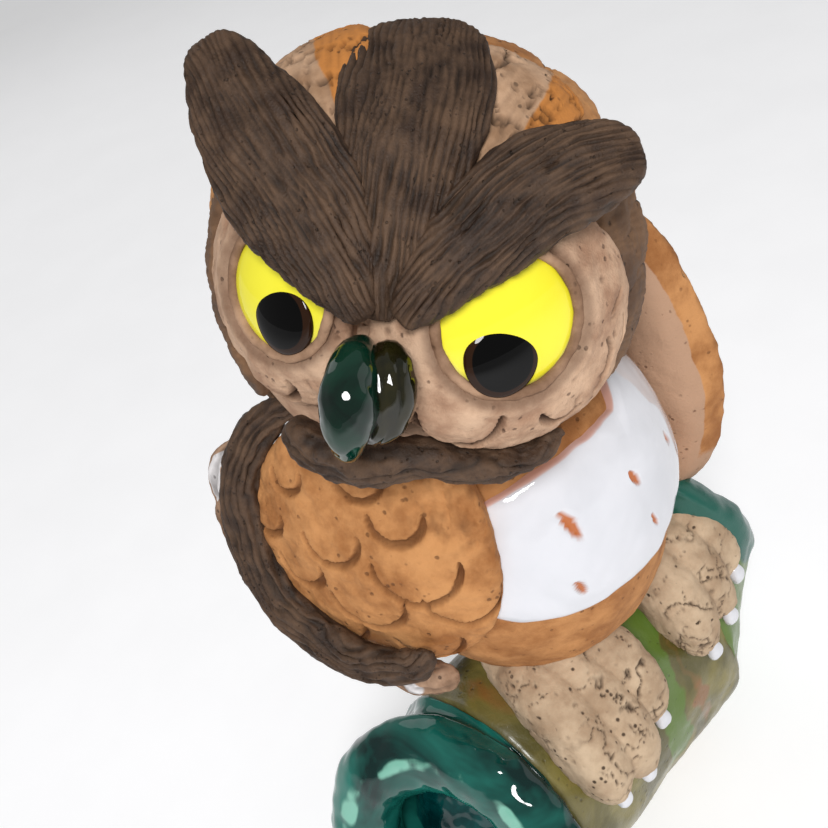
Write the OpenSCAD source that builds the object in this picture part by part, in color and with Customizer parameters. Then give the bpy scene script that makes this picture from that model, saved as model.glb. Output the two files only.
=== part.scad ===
// Hand-built ceramic owl perched on a hollow log, head turned to its right.
// Origin: centre of the flat underside of the log. Breast faces -Y, log runs along X, up is +Z.

/* [Log] */
// Radius of the log
log_r = 19.5; // [18:0.5:21]
// How far below the log axis the underside is sliced flat
log_drop = 18.5; // [17.5:0.5:19]
// Half length of the plain middle of the log
log_half = 16.5; // [16:0.5:20]
// Clay wall of the log
log_wall = 4.5; // [3.5:0.5:6]
// Bend of the right end, degrees
end_bend = 28; // [15:1:32]
// Which way the right end bends, degrees forward of straight up
end_lean = 35; // [0:5:60]
// Length of the straight left end
end_len = 5; // [4:1:12]
// Size of the vent hole in the underside
vent_d = 3; // [2:0.5:3.5]

/* [Body] */
// Widest radius of the body
body_r = 20.5; // [19:0.5:22]
// Height of the widest part of the body above the flat underside
body_z = 61; // [59:0.5:63]
// Clay wall of the body and head
shell_wall = 4; // [3:0.5:5]
// Height of the seam between body and head
neck_z = 78; // [76:0.5:80]
// Thickness of the white bib
bib_t = 2; // [1.5:0.25:3]

/* [Head] */
// Radius of the head
head_r = 23; // [22:0.5:24]
// Turn of the head to the owl's right, degrees
head_turn = 50; // [40:1:60]
// Upward look of the head, degrees
head_lift = 18; // [12:1:22]
// Tilt of the head towards the owl's left, degrees
head_tilt = 13; // [0:1:18]
// Radius of each flat face disc
face_r = 13; // [12.5:0.25:13.5]
// Angle of each face disc away from the middle, degrees
face_spread = 25; // [22:1:26]
// Length of the brow tufts
brow_len = 31; // [28:1:33]

/* [Eyes and beak] */
// Radius of the yellow eye
eye_r = 6.2; // [5.5:0.1:6.8]
// Radius of the black pupil
pupil_r = 3; // [2.4:0.1:3.4]
// Length of the beak
beak_len = 11; // [9:0.5:13]

/* [Wings] */
// Radius of the shoulder disc of a wing
wing_r = 14.5; // [13.5:0.5:15.5]
// Thickness of a wing
wing_t = 5; // [4:0.5:6]
// Width of the dark quill band
quill_w = 4.5; // [3.5:0.5:5.5]

/* [Feet] */
// Sideways distance of each foot from the middle
foot_x = 10.5; // [10:0.5:11.5]
// Radius of a toe
toe_r = 2.4; // [2.2:0.1:2.6]

/* [Hidden] */
$fn = 120;
arc_fn = 240;
tiny = 0.01;
far = 200;

log_z = log_drop;
log_bore = log_r - log_wall;
bend_r = log_r + 8;
rim_tube = 5.2;
rim_r = log_r - rim_tube + 0.3;
rim_hole = rim_r - rim_tube;
core_t = 3;
core_dome_r = 7;
left_rim_tube = 4.6;
left_rim_r = log_r - 1.5 - left_rim_tube;
left_end_r = log_r - 1;

body_arc = 30;
body_off = body_arc - body_r;
body_top = neck_z - body_z;
body_bottom = -24;
body_y = 0.5;
neck_hole_r = 8;
base_hole_r = 6;

head_c = [-1.5, -1.5, 96];
face_front = 24.8;
face_back = 12;
face_bevel = 1.4;
face_drop = 5;
eye_t = 1.4;
eye_bevel = 0.6;
eye_in = 0.5;
eye_up = 1.5;
rim_ring_r = 0.9;
pupil_t = 0.9;
pupil_in = 0.8;
pupil_down = 2.3;
brow_w = 8.6;
brow_root_w = 4;
brow_edge_a = atan((brow_w - brow_root_w) / 2 / (brow_len - brow_w / 2));
brow_t = 5;
brow_root = [0, -27, -1];
brow_fan = 42;
brow_back = 22;
crest_w = 13;
crest_t = 3;
crest_from = 172;
crest_sweep = 76;
patch_from = 158;
patch_sweep = 62;
patch_in = 16;
patch_w = 8;
patch_t = 0.6;
petal_r = 6.5;
nape_r = 6;
cheek_turn = 78;
scale_r = 4.2;
beak_c = [0, -28.6, -5.5];
beak_w = 6;
beak_tip_w = 2;
beak_tip_in = 10;
lobe_at = [3.8, 1.2, 0];
lobe_r = 3;

wing_turn = 70;
wing_rise = 10;
wing_c = [22.5, -1, 68.5];
wing_sink = 2;
wing_bevel = 1.5;
band_mid = 45;
quill_sweep = 160;
tip_sweep = 120;
tip_w = 3;

ruff_r = 18.5;
ruff_tube = 3.2;

back_reach = 9;
back_scale_r = 6;
tail_gap = 6.5;
tail_y = 23;
tail_z = 50;
tail_w = 8;
tail_len = 34;
tail_t = 3;
tail_tip_out = -6;

foot_start = 20;
toe_sweep = 44;
toe_gap = 2 * toe_r + 0.1;
toe_path_r = log_r + toe_r - 0.8;
ankle_r = 6.4;
ankle_turn = 7;
claw_r = 1.5;
claw_len = 3.6;
claw_lift = 0.2;

// Solid envelope of the plain log, used to seat the pieces that rest on it
module log_solid(grow = 0) {
    translate([-log_half, 0, log_z])
        rotate([0, 90, 0])
            cylinder(r = log_r + grow, h = 2 * log_half);
}

// Keeps everything above the flat underside
module above_ground() {
    translate([-far / 2, -far / 2, 0])
        cube([far, far, far]);
}

// Egg shaped envelope of the body, flat at the neck seam
module body_solid(grow = 0) {
    translate([0, body_y, body_z])
        rotate_extrude()
            intersection() {
                translate([-body_off, 0])
                    circle(r = body_arc + grow);
                translate([0, body_bottom])
                    square([2 * body_r, body_top - body_bottom]);
            }
}

// Ball envelope of the head
module head_ball(grow = 0) {
    translate(head_c)
        sphere(r = head_r + grow);
}

// Part of space above the neck seam
module above_neck() {
    translate([-far / 2, -far / 2, neck_z])
        cube([far, far, far]);
}

// Carries a shape drawn for an upright forward head onto the turned head
module on_head() {
    translate(head_c)
        rotate([0, 0, -head_turn])
            rotate([-head_lift, 0, 0])
                rotate([0, head_tilt, 0])
                    children();
}

// Looks outward along the middle of one face disc, side -1 is the owl's right
module on_face(side) {
    on_head()
        rotate([0, 0, side * face_spread])
            rotate([90 + face_drop, 0, 0])
                children();
}

// Looks outward along a direction on the head: turn to the owl's left, then rise
module on_skull(turn, rise) {
    on_head()
        rotate([0, 0, turn])
            rotate([90 - rise, 0, 0])
                children();
}

module perch_log() {
    color("#6b7034")
        difference() {
            intersection() {
                log_solid();
                above_ground();
            }
            translate([-far / 2, 0, log_z])
                rotate([0, 90, 0])
                    cylinder(r = log_bore, h = far);
            translate([-log_half / 2, 0, -tiny])
                cylinder(d = vent_d, h = log_wall * 2);
            translate([0, 0, log_z])
                cylinder(r = base_hole_r, h = far);
        }
}

// Frame of the right end opening after the bend
module at_right_mouth() {
    translate([-log_half, 0, log_z])
        rotate([end_lean, 0, 0])
            translate([0, 0, bend_r])
                rotate([-90, 90, 0])
                    rotate([0, 0, end_bend])
                        translate([bend_r, 0, 0])
                            rotate([-90, 0, 0])
                                children();
}

module log_end_right() {
    color("#1d6a60")
        intersection() {
            union() {
                translate([-log_half, 0, log_z])
                    rotate([end_lean, 0, 0])
                        translate([0, 0, bend_r])
                            rotate([-90, 90, 0])
                                rotate_extrude(angle = end_bend)
                                    translate([bend_r, 0])
                                        difference() {
                                            circle(r = log_r);
                                            circle(r = log_bore);
                                        }
                at_right_mouth()
                    rotate_extrude()
                        translate([rim_r, 0])
                            circle(r = rim_tube);
            }
            above_ground();
        }
}

module log_core_right() {
    color("#12463f")
        at_right_mouth()
            translate([0, 0, -rim_tube - core_t])
                difference() {
                    union() {
                        cylinder(r = rim_hole + 2, h = core_t);
                        translate([0, 0, core_t - core_dome_r + 3])
                            sphere(r = core_dome_r);
                    }
                    translate([0, 0, -2 * core_dome_r])
                        cylinder(r = 2 * core_dome_r, h = 2 * core_dome_r);
                    translate([0, 0, rim_tube + core_t])
                        rotate_extrude()
                            translate([rim_r, 0])
                                circle(r = rim_tube);
                }
}

module log_end_left() {
    color("#1d6a60")
        intersection() {
            translate([log_half, 0, log_z])
                rotate([0, 90, 0])
                    union() {
                        difference() {
                            cylinder(r = left_end_r, h = end_len);
                            translate([0, 0, -tiny])
                                cylinder(r = log_bore, h = end_len + 2 * tiny);
                        }
                        translate([0, 0, end_len - 1])
                            rotate_extrude()
                                translate([left_rim_r, 0])
                                    circle(r = left_rim_tube);
                    }
            above_ground();
            translate([log_half, -far / 2, 0])
                cube([far, far, far]);
        }
}

module log_core_left() {
    color("#12463f")
        translate([log_half, 0, log_z])
            rotate([0, 90, 0])
                difference() {
                    union() {
                        cylinder(r = log_bore, h = core_t - 1);
                        sphere(r = core_dome_r - 1);
                    }
                    translate([0, 0, -2 * core_dome_r])
                        cylinder(r = 2 * core_dome_r, h = 2 * core_dome_r);
                    translate([0, 0, end_len - 1])
                        rotate_extrude()
                            translate([left_rim_r, 0])
                                circle(r = left_rim_tube);
                }
}

module body_shell() {
    color("#b9743a")
        difference() {
            body_solid();
            difference() {
                body_solid(-shell_wall);
                translate([-far / 2, -far / 2, neck_z - shell_wall])
                    cube([far, far, far]);
            }
            log_solid();
            translate([0, 0, log_z])
                cylinder(r = base_hole_r, h = log_r + shell_wall + 10);
            translate([0, 0, body_z])
                cylinder(r = neck_hole_r, h = far);
        }
}

module breast_bib() {
    color("#eeeef0")
        difference() {
            intersection() {
                body_solid(bib_t);
                translate([0, 0, body_z - 1])
                    rotate([90, 0, 0])
                        cylinder(r = 14.5, h = far);
            }
            body_solid();
            head_ball();
            log_solid(1);
        }
}

// Collar of dark clay before it is cut to its neighbours
module ruff_ring() {
    translate([0, 0, neck_z + 1.5])
        rotate([0, 0, 170])
            rotate_extrude(angle = 200)
                translate([ruff_r, 0])
                    circle(r = ruff_tube);
}

module chin_ruff() {
    color("#4a3a2e")
        difference() {
            ruff_ring();
            head_ball();
            body_solid();
            body_solid(bib_t);
            face_block(-1);
            face_block(1);
        }
}

// Round scale pressed on the back of the body
module back_scale(turn, height, r) {
    translate([0, body_y, height])
        rotate([0, 0, turn])
            translate([0, body_r - 6, 0])
                rotate([-90, 0, 0])
                    cylinder(r = r, h = back_reach);
}

module back_blocks() {
    for (i = [-1, 0, 1])
        back_scale(i * 28, body_z + 5, back_scale_r);
    for (i = [-0.5, 0.5])
        back_scale(i * 28, body_z - 5, back_scale_r);
}

module back_feathers() {
    color("#9a6a3c")
        difference() {
            back_blocks();
            body_solid();
            head_ball();
        }
}

// One tail feather with a rounded tip, hanging from its root
module tail_feather(w, l, t) {
    rotate([90, 0, 0])
        linear_extrude(height = t)
            union() {
                translate([0, -l])
                    circle(d = w);
                translate([-w / 2, -l])
                    square([w, l]);
            }
}

module tail_feathers() {
    color("#5a4333")
        difference() {
            for (i = [-1, 0, 1])
                translate([i * tail_gap, tail_y + (1 - abs(i)), tail_z])
                    rotate([tail_tip_out, 0, 0])
                        tail_feather(tail_w, tail_len - 3 * abs(i), tail_t);
            body_solid();
            log_solid();
            back_blocks();
        }
}

// Frame of a wing: outward along its flat side
module on_wing(side) {
    translate([side * wing_c[0], wing_c[1], wing_c[2]])
        rotate([0, 0, side * wing_turn])
            rotate([90 - wing_rise, 0, 0])
                translate([0, 0, -wing_sink])
                    children();
}

// Rounded shoulder plate of a wing before it is cut to its neighbours
module wing_plate(side) {
    on_wing(side)
        union() {
            cylinder(r = wing_r, h = wing_t - wing_bevel);
            translate([0, 0, wing_t - wing_bevel])
                cylinder(r1 = wing_r, r2 = wing_r - wing_bevel, h = wing_bevel);
        }
}

// Part ring round the back of a wing
module wing_band(side, inner, outer, sweep, t) {
    on_wing(side)
        rotate([0, 0, side * band_mid - sweep / 2 - 90])
            rotate_extrude(angle = sweep)
                translate([inner, 0])
                    square([outer - inner, t]);
}

module wing_shoulder(side) {
    color("#bf7d41")
        difference() {
            wing_plate(side);
            body_solid(bib_t);
            head_ball();
            ruff_ring();
            if (side < 0)
                face_block(side);
        }
}

module wing_quills(side) {
    color("#43342a")
        difference() {
            wing_band(side, wing_r, wing_r + quill_w, quill_sweep, wing_t - 1);
            body_solid(bib_t);
            log_solid();
        }
}

module wing_tips(side) {
    color("#c8a988")
        difference() {
            wing_band(side, wing_r + quill_w, wing_r + quill_w + tip_w, tip_sweep, wing_t - 2);
            body_solid(bib_t);
            log_solid();
        }
}

module wing_right() {
    wing_shoulder(-1);
}

module wing_right_quills() {
    wing_quills(-1);
}

module wing_right_tips() {
    wing_tips(-1);
}

module wing_left() {
    wing_shoulder(1);
}

module wing_left_quills() {
    wing_quills(1);
}

module wing_left_tips() {
    wing_tips(1);
}

module head_shell() {
    color("#b08a6c")
        difference() {
            intersection() {
                head_ball();
                above_neck();
            }
            difference() {
                head_ball(-shell_wall);
                translate([-far / 2, -far / 2, neck_z + shell_wall - far])
                    cube([far, far, far]);
            }
            translate([0, 0, neck_z - 1])
                cylinder(r = neck_hole_r, h = head_r / 2);
        }
}

// Face disc before it is cut to its neighbours
module face_block(side) {
    intersection() {
        on_face(side)
            union() {
                translate([0, 0, face_back])
                    cylinder(r = face_r, h = face_front - face_bevel - face_back);
                translate([0, 0, face_front - face_bevel])
                    cylinder(r1 = face_r, r2 = face_r - face_bevel, h = face_bevel);
            }
        on_head()
            translate([side > 0 ? 0 : -far, -far / 2, -far / 2])
                cube([far, far, far]);
    }
}

module face_plate(side) {
    color("#b28e74")
        difference() {
            face_block(side);
            head_ball();
            body_solid(bib_t);
        }
}

module face_right() {
    face_plate(-1);
}

module face_left() {
    face_plate(1);
}

// Outline of a brow: narrow at the bridge of the beak, rounded at the tip
module paddle() {
    translate([0, brow_len - brow_w / 2])
        circle(d = brow_w);
    polygon([[-brow_root_w / 2, 0], [brow_root_w / 2, 0],
             [brow_w / 2, brow_len - brow_w / 2], [-brow_w / 2, brow_len - brow_w / 2]]);
}

// Brow from the bridge of the beak up to the tip of an ear tuft, before it is cut to its neighbours
module brow_block(side) {
    on_head()
        translate(brow_root)
            rotate([-brow_back, 0, 0])
                rotate([90, side * brow_fan, 0])
                    translate([0, 0, -brow_t / 2])
                        linear_extrude(height = brow_t)
                            paddle();
}

// Everything above the lower edge of one brow
module over_brow(side) {
    on_head()
        translate(brow_root)
            rotate([-brow_back, 0, 0])
                rotate([90, side * brow_fan, 0])
                    translate([side * brow_root_w / 2, 0, -far / 2])
                        rotate([0, 0, -side * brow_edge_a])
                            translate([side > 0 ? -far : 0, -far / 2, 0])
                                cube([far, far, far]);
}

module brow_plate(side) {
    color("#3f3129")
        difference() {
            brow_block(side);
            head_ball();
            on_face(side)
                cylinder(r = face_r, h = face_front);
            on_head()
                translate([side > 0 ? -far : 0, -far / 2, -far / 2])
                    cube([far, far, far]);
        }
}

module brow_right() {
    brow_plate(-1);
}

module brow_left() {
    brow_plate(1);
}

// Band over the middle of the crown before it is cut to its neighbours
module crest_band() {
    on_head()
        rotate([0, 90, 0])
            rotate([0, 0, crest_from])
                rotate_extrude(angle = crest_sweep)
                    translate([head_r - 3, -crest_w / 2])
                        square([3 + crest_t, crest_w]);
}

module crest() {
    color("#4b3c32")
        difference() {
            crest_band();
            head_ball();
            brow_block(-1);
            brow_block(1);
        }
}

// Round petal of clay pressed on the skull
module petal(turn, rise, r, reach) {
    on_skull(turn, rise)
        translate([0, 0, head_r - 4])
            cylinder(r = r, h = 4 + reach);
}

// Raised patches of the crown, one each side of the crest
module crown_patch(side) {
    on_head()
        rotate([0, 90, 0])
            rotate([0, 0, patch_from])
                rotate_extrude(angle = patch_sweep)
                    translate([patch_in, side > 0 ? crest_w / 2 : -crest_w / 2 - patch_w])
                        square([head_r + patch_t - patch_in, patch_w]);
}

module crown_patches() {
    color("#b98c6a")
        difference() {
            union() {
                crown_patch(-1);
                crown_patch(1);
            }
            head_ball();
            brow_block(-1);
            brow_block(1);
        }
}

module crown_petals() {
    color("#c07a3c")
        difference() {
            for (turn = [-112, 112])
                petal(turn, 40, petal_r, 2);
            for (turn = [-152, 152])
                petal(turn, 36, petal_r, 2);
            head_ball();
        }
}

module nape_petals() {
    color("#8d6545")
        difference() {
            for (turn = [-150, 0, 150])
                petal(turn + 180, 4, nape_r, 1.6);
            head_ball();
        }
}

// Small overlapping scales behind one cheek
module cheek_scales(side) {
    color("#5b4635")
        difference() {
            for (rise = [-12, 10, 32])
                petal(side * cheek_turn, rise, scale_r, 1.6);
            head_ball();
        }
}

module cheek_scales_right() {
    cheek_scales(-1);
}

module cheek_scales_left() {
    cheek_scales(1);
}

// Frame of one eye: sits on the flat front of the face disc
module on_eye(side) {
    on_face(side)
        translate([side * eye_in, eye_up, face_front])
            children();
}

// Low domed button, flat underneath
module button(r, h) {
    rotate_extrude()
        intersection() {
            translate([0, h - (r * r + h * h) / (2 * h)])
                circle(r = (r * r + h * h) / (2 * h), $fn = arc_fn);
            square([r, h]);
        }
}

module eye_ball(side) {
    color("#e8dc3c")
        difference() {
            on_eye(side) {
                cylinder(r = eye_r, h = eye_t - eye_bevel);
                translate([0, 0, eye_t - eye_bevel])
                    cylinder(r1 = eye_r, r2 = eye_r - eye_bevel, h = eye_bevel);
            }
            over_brow(side);
        }
}

module eye_right() {
    eye_ball(-1);
}

module eye_left() {
    eye_ball(1);
}

module eye_rim(side) {
    color("#7c6048")
        difference() {
            on_eye(side)
                rotate_extrude()
                    intersection() {
                        translate([eye_r + rim_ring_r, 0])
                            circle(r = rim_ring_r);
                        square([2 * eye_r, eye_r]);
                    }
            over_brow(side);
        }
}

module eye_rim_right() {
    eye_rim(-1);
}

module eye_rim_left() {
    eye_rim(1);
}

module pupil(side) {
    color("#111114")
        on_eye(side)
            translate([-side * pupil_in, -pupil_down, eye_t])
                button(pupil_r, pupil_t);
}

module pupil_right() {
    pupil(-1);
}

module pupil_left() {
    pupil(1);
}

// Drop of the beak hanging over the join of the face discs
module beak_block() {
    on_head()
        translate(beak_c)
            rotate([beak_tip_in, 0, 0]) {
                sphere(d = beak_w);
                translate([0, 0, beak_w / 2 - beak_len])
                    cylinder(d1 = beak_tip_w, d2 = beak_w - 0.2, h = beak_len - beak_w / 2);
            }
}

// Everything behind the flat front of one face disc
module behind_face(side) {
    on_face(side)
        translate([-far / 2, -far / 2, face_front - far])
            cube([far, far, far]);
}

module beak() {
    color("#143527")
        difference() {
            beak_block();
            behind_face(-1);
            behind_face(1);
        }
}

module beak_lobe() {
    color("#5a4b28")
        difference() {
            on_head()
                translate(beak_c + lobe_at)
                    sphere(r = lobe_r);
            beak_block();
            behind_face(-1);
            behind_face(1);
        }
}

// Middle line of one toe, an arc that drapes over the front of the log
module toe_frame(x, turn) {
    translate([x, 0, log_z])
        rotate([0, 90, 0])
            rotate([0, 0, 180 + turn])
                children();
}

module toe(x, sweep) {
    toe_frame(x, foot_start)
        rotate_extrude(angle = sweep)
            translate([toe_path_r, 0])
                circle(r = toe_r);
}

module foot(side) {
    color("#cdb393")
        difference() {
            union() {
                for (i = [-1, 0, 1])
                    toe(side * foot_x + i * toe_gap, toe_sweep - 6 * abs(i));
                toe_frame(side * foot_x, foot_start + ankle_turn)
                    translate([log_r, 0, 0])
                        sphere(r = ankle_r);
            }
            log_solid();
            body_solid(bib_t);
        }
}

module foot_right() {
    foot(-1);
}

module foot_left() {
    foot(1);
}

// Three short claws, each seated on the blunt end of its toe
module claws(side) {
    color("#f0f0ee")
        for (i = [-1, 0, 1])
            toe_frame(side * foot_x + i * toe_gap, foot_start + toe_sweep - 6 * abs(i))
                translate([toe_path_r + claw_lift, 0, 0])
                    rotate([-90, 0, 0])
                        cylinder(r1 = claw_r, r2 = claw_r / 2, h = claw_len);
}

module claws_right() {
    claws(-1);
}

module claws_left() {
    claws(1);
}

perch_log();
log_end_right();
log_core_right();
log_end_left();
log_core_left();
body_shell();
breast_bib();
chin_ruff();
back_feathers();
tail_feathers();
wing_right();
wing_right_quills();
wing_right_tips();
wing_left();
wing_left_quills();
wing_left_tips();
head_shell();
face_right();
face_left();
brow_right();
brow_left();
crest();
crown_patches();
crown_petals();
nape_petals();
cheek_scales_right();
cheek_scales_left();
eye_right();
eye_left();
eye_rim_right();
eye_rim_left();
pupil_right();
pupil_left();
beak();
beak_lobe();
foot_right();
foot_left();
claws_right();
claws_left();
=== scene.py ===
import bpy, bmesh, math
from mathutils import Vector, Matrix, noise


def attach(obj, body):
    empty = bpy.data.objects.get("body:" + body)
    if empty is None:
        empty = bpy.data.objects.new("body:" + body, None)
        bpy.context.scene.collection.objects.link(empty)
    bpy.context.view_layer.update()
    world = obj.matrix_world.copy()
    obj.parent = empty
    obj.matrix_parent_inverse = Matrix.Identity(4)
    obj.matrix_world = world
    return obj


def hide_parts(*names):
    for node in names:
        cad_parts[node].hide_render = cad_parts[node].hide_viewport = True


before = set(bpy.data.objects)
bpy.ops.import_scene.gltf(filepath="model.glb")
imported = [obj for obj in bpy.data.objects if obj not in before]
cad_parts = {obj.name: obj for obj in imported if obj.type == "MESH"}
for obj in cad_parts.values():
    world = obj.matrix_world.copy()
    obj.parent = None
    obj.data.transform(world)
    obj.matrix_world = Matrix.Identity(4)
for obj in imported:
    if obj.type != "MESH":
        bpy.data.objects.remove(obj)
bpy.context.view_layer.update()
mm = 0.001

viewPoint = {"azimuth": -34.55, "elevation": 33.91, "roll": 21.24, "distance": 163.0, "lens": 49.18,
             "target": (6.9, 23.73, 60.65)}

def makeCamera(view):
    a = math.radians(view["azimuth"])
    e = math.radians(view["elevation"])
    r = math.radians(view["roll"])
    back = Vector((math.sin(a) * math.cos(e), -math.cos(a) * math.cos(e), math.sin(e)))
    right = Vector((math.cos(a), math.sin(a), 0))
    up = back.cross(right)
    side = right * math.cos(r) - up * math.sin(r)
    top = right * math.sin(r) + up * math.cos(r)
    place = (Vector(view["target"]) + back * view["distance"]) * mm
    camera = bpy.data.objects.new("camera", bpy.data.cameras.new("camera"))
    bpy.context.scene.collection.objects.link(camera)
    camera.matrix_world = Matrix.Translation(place) @ Matrix((side, top, back)).transposed().to_4x4()
    camera.data.lens = view["lens"]
    camera.data.sensor_width = 36
    camera.data.clip_start = 0.01
    bpy.context.scene.camera = camera

makeCamera(viewPoint)
bpy.context.scene.view_settings.view_transform = "Standard"  # plain colours, so paints can be matched

studio = {"keyPower": 2.3, "keySize": 0.16, "fillPower": 0.25, "backPower": 0.35, "worldLight": 0.3}

def addLight(name, place, size, power):
    data = bpy.data.lights.new(name, "AREA")
    data.shape = "DISK"
    data.size = size
    data.energy = power
    lamp = bpy.data.objects.new(name, data)
    bpy.context.scene.collection.objects.link(lamp)
    lamp.location = place
    lamp.rotation_euler = (Vector((0, 0, 0.06)) - Vector(place)).to_track_quat("-Z", "Y").to_euler()

addLight("keyLight", (-0.25, -0.3, 0.42), studio["keySize"], studio["keyPower"])
addLight("fillLight", (0.45, -0.35, 0.3), 0.4, studio["fillPower"])
addLight("backLight", (0.1, 0.5, 0.4), 0.4, studio["backPower"])
world = bpy.data.worlds.new("paleRoom")
world.use_nodes = True
world.node_tree.nodes["Background"].inputs["Color"].default_value = (1, 1, 1, 1)
world.node_tree.nodes["Background"].inputs["Strength"].default_value = studio["worldLight"]
bpy.context.scene.world = world
print("studio ready")

# ---- surfaces shared by several finishes

def tone(red, green, blue):  # a screen colour as the shader wants it
    return tuple((c / 255) ** 2.2 for c in (red, green, blue)) + (1,)

def newGroup(name, inputs, outputs):
    group = bpy.data.node_groups.new(name, "ShaderNodeTree")
    for label, kind, value in inputs:
        socket = group.interface.new_socket(name=label, in_out="INPUT", socket_type=kind)
        socket.default_value = value
    for label, kind in outputs:
        group.interface.new_socket(name=label, in_out="OUTPUT", socket_type=kind)
    return group, group.nodes.new("NodeGroupInput"), group.nodes.new("NodeGroupOutput")

def addNode(tree, kind, settings=None, **values):
    made = tree.nodes.new(kind)
    for key, value in (settings or {}).items():
        setattr(made, key, value)
    for key, value in values.items():
        made.inputs[key.replace("_", " ")].default_value = value
    return made

def calc(tree, operation, first, second=None, clamp=False):
    made = addNode(tree, "ShaderNodeMath", {"operation": operation, "use_clamp": clamp})
    for slot, value in ((0, first), (1, second)):
        if value is None:
            continue
        if isinstance(value, (int, float)):
            made.inputs[slot].default_value = value
        else:
            tree.links.new(value, made.inputs[slot])
    return made.outputs[0]

def fade(tree, value, low, high, start=0.0, end=1.0):  # a smooth step between two levels
    made = addNode(tree, "ShaderNodeMapRange", {"interpolation_type": "SMOOTHSTEP"}, From_Min=low, From_Max=high,
                   To_Min=start, To_Max=end)
    tree.links.new(value, made.inputs["Value"])
    return made.outputs["Result"]

def mixColor(tree, factor, first, second, blend="MIX"):
    made = addNode(tree, "ShaderNodeMix", {"data_type": "RGBA", "blend_type": blend})
    for slot, value in ((0, factor), (6, first), (7, second)):
        if isinstance(value, (int, float, tuple)):
            made.inputs[slot].default_value = value
        else:
            tree.links.new(value, made.inputs[slot])
    return made.outputs[2]

def readAttribute(tree, name):
    return addNode(tree, "ShaderNodeAttribute", {"attribute_name": name}).outputs["Fac"]

def makeClayGrain():  # grog, pin holes and soft blotches of bare fired clay
    group, inside, outside = newGroup("clayGrain",
        [("Size", "NodeSocketFloat", 1.0), ("Pit Amount", "NodeSocketFloat", 0.5)],
        [("Blotch", "NodeSocketFloat"), ("Pits", "NodeSocketFloat"), ("Height", "NodeSocketFloat")])
    place = group.nodes.new("ShaderNodeTexCoord")
    def grain(kind, scale, **values):
        made = addNode(group, kind, **values)
        group.links.new(place.outputs["Object"], made.inputs["Vector"])
        group.links.new(calc(group, "MULTIPLY", inside.outputs["Size"], scale), made.inputs["Scale"])
        return made
    blotch = grain("ShaderNodeTexNoise", 170.0, Detail=5.0, Roughness=0.62)
    fine = grain("ShaderNodeTexNoise", 2300.0, Detail=3.0, Roughness=0.7)
    pit = grain("ShaderNodeTexVoronoi", 900.0, Randomness=1.0)
    where = grain("ShaderNodeTexNoise", 420.0, Detail=2.0)
    hole = fade(group, pit.outputs["Distance"], 0.12, 0.3, 1.0, 0.0)
    chance = fade(group, where.outputs["Fac"], 0.52, 0.62)
    pits = calc(group, "MULTIPLY", calc(group, "MULTIPLY", hole, chance), inside.outputs["Pit Amount"], True)
    group.links.new(fade(group, blotch.outputs["Fac"], 0.3, 0.7), outside.inputs["Blotch"])
    group.links.new(pits, outside.inputs["Pits"])
    grit = calc(group, "ADD", calc(group, "MULTIPLY", fine.outputs["Fac"], 0.6), calc(group, "MULTIPLY", blotch.outputs["Fac"], 0.5))
    group.links.new(calc(group, "SUBTRACT", grit, calc(group, "MULTIPLY", pits, 1.2)), outside.inputs["Height"])
    return group

def makeEdgeTint():  # slip that gathers in pressed lines, and the darkening inside the log mouths' holes, painted shade with the glaze pooled thicker there
    group, inside, outside = newGroup("pressedLinesAndShade",
        [("Base", "NodeSocketColor", (0.5, 0.5, 0.5, 1)), ("Line Color", "NodeSocketColor", (0.1, 0.05, 0.02, 1)),
         ("Line Strength", "NodeSocketFloat", 0.8)],
        [("Color", "NodeSocketColor"), ("Line", "NodeSocketFloat")])
    line = calc(group, "MULTIPLY", readAttribute(group, "groove"), inside.outputs["Line Strength"], True)
    group.links.new(mixColor(group, line, inside.outputs["Base"], inside.outputs["Line Color"]), outside.inputs["Color"])
    group.links.new(line, outside.inputs["Line"])
    return group

def makeGlazePool():  # thin and thick patches of a poured glaze
    group, inside, outside = newGroup("glazePool",
        [("Size", "NodeSocketFloat", 1.0), ("Contrast", "NodeSocketFloat", 1.0)],
        [("Pool", "NodeSocketFloat"), ("Speck", "NodeSocketFloat"), ("Height", "NodeSocketFloat")])
    place = group.nodes.new("ShaderNodeTexCoord")
    def grain(kind, scale, **values):
        made = addNode(group, kind, **values)
        group.links.new(place.outputs["Object"], made.inputs["Vector"])
        group.links.new(calc(group, "MULTIPLY", inside.outputs["Size"], scale), made.inputs["Scale"])
        return made
    big = grain("ShaderNodeTexNoise", 95.0, Detail=4.0, Roughness=0.55, Distortion=0.6)
    small = grain("ShaderNodeTexNoise", 900.0, Detail=2.0, Roughness=0.5)
    centred = calc(group, "SUBTRACT", big.outputs["Fac"], 0.5)
    spread = calc(group, "ADD", calc(group, "MULTIPLY", centred, calc(group, "MULTIPLY", inside.outputs["Contrast"], 3.2)), 0.5, True)
    group.links.new(spread, outside.inputs["Pool"])
    group.links.new(fade(group, small.outputs["Fac"], 0.6, 0.75), outside.inputs["Speck"])
    group.links.new(calc(group, "ADD", calc(group, "MULTIPLY", big.outputs["Fac"], 0.8), calc(group, "MULTIPLY", small.outputs["Fac"], 0.08)),
                    outside.inputs["Height"])
    return group

clayGrain = makeClayGrain()
pressedLinesAndShade = makeEdgeTint()
glazePool = makeGlazePool()

def startMaterial(name, roughness, coat=0.0, coatRoughness=0.05, specular=0.5):
    made = bpy.data.materials.new(name)
    made.use_nodes = True
    shader = made.node_tree.nodes["Principled BSDF"]
    shader.inputs["Roughness"].default_value = roughness
    shader.inputs["Coat Weight"].default_value = coat
    shader.inputs["Coat Roughness"].default_value = coatRoughness
    shader.inputs["Specular IOR Level"].default_value = specular
    return made, made.node_tree, shader

def useGroup(tree, group, **values):
    made = tree.nodes.new("ShaderNodeGroup")
    made.node_tree = group
    for key, value in values.items():
        made.inputs[key.replace("_", " ")].default_value = value
    return made

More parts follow.
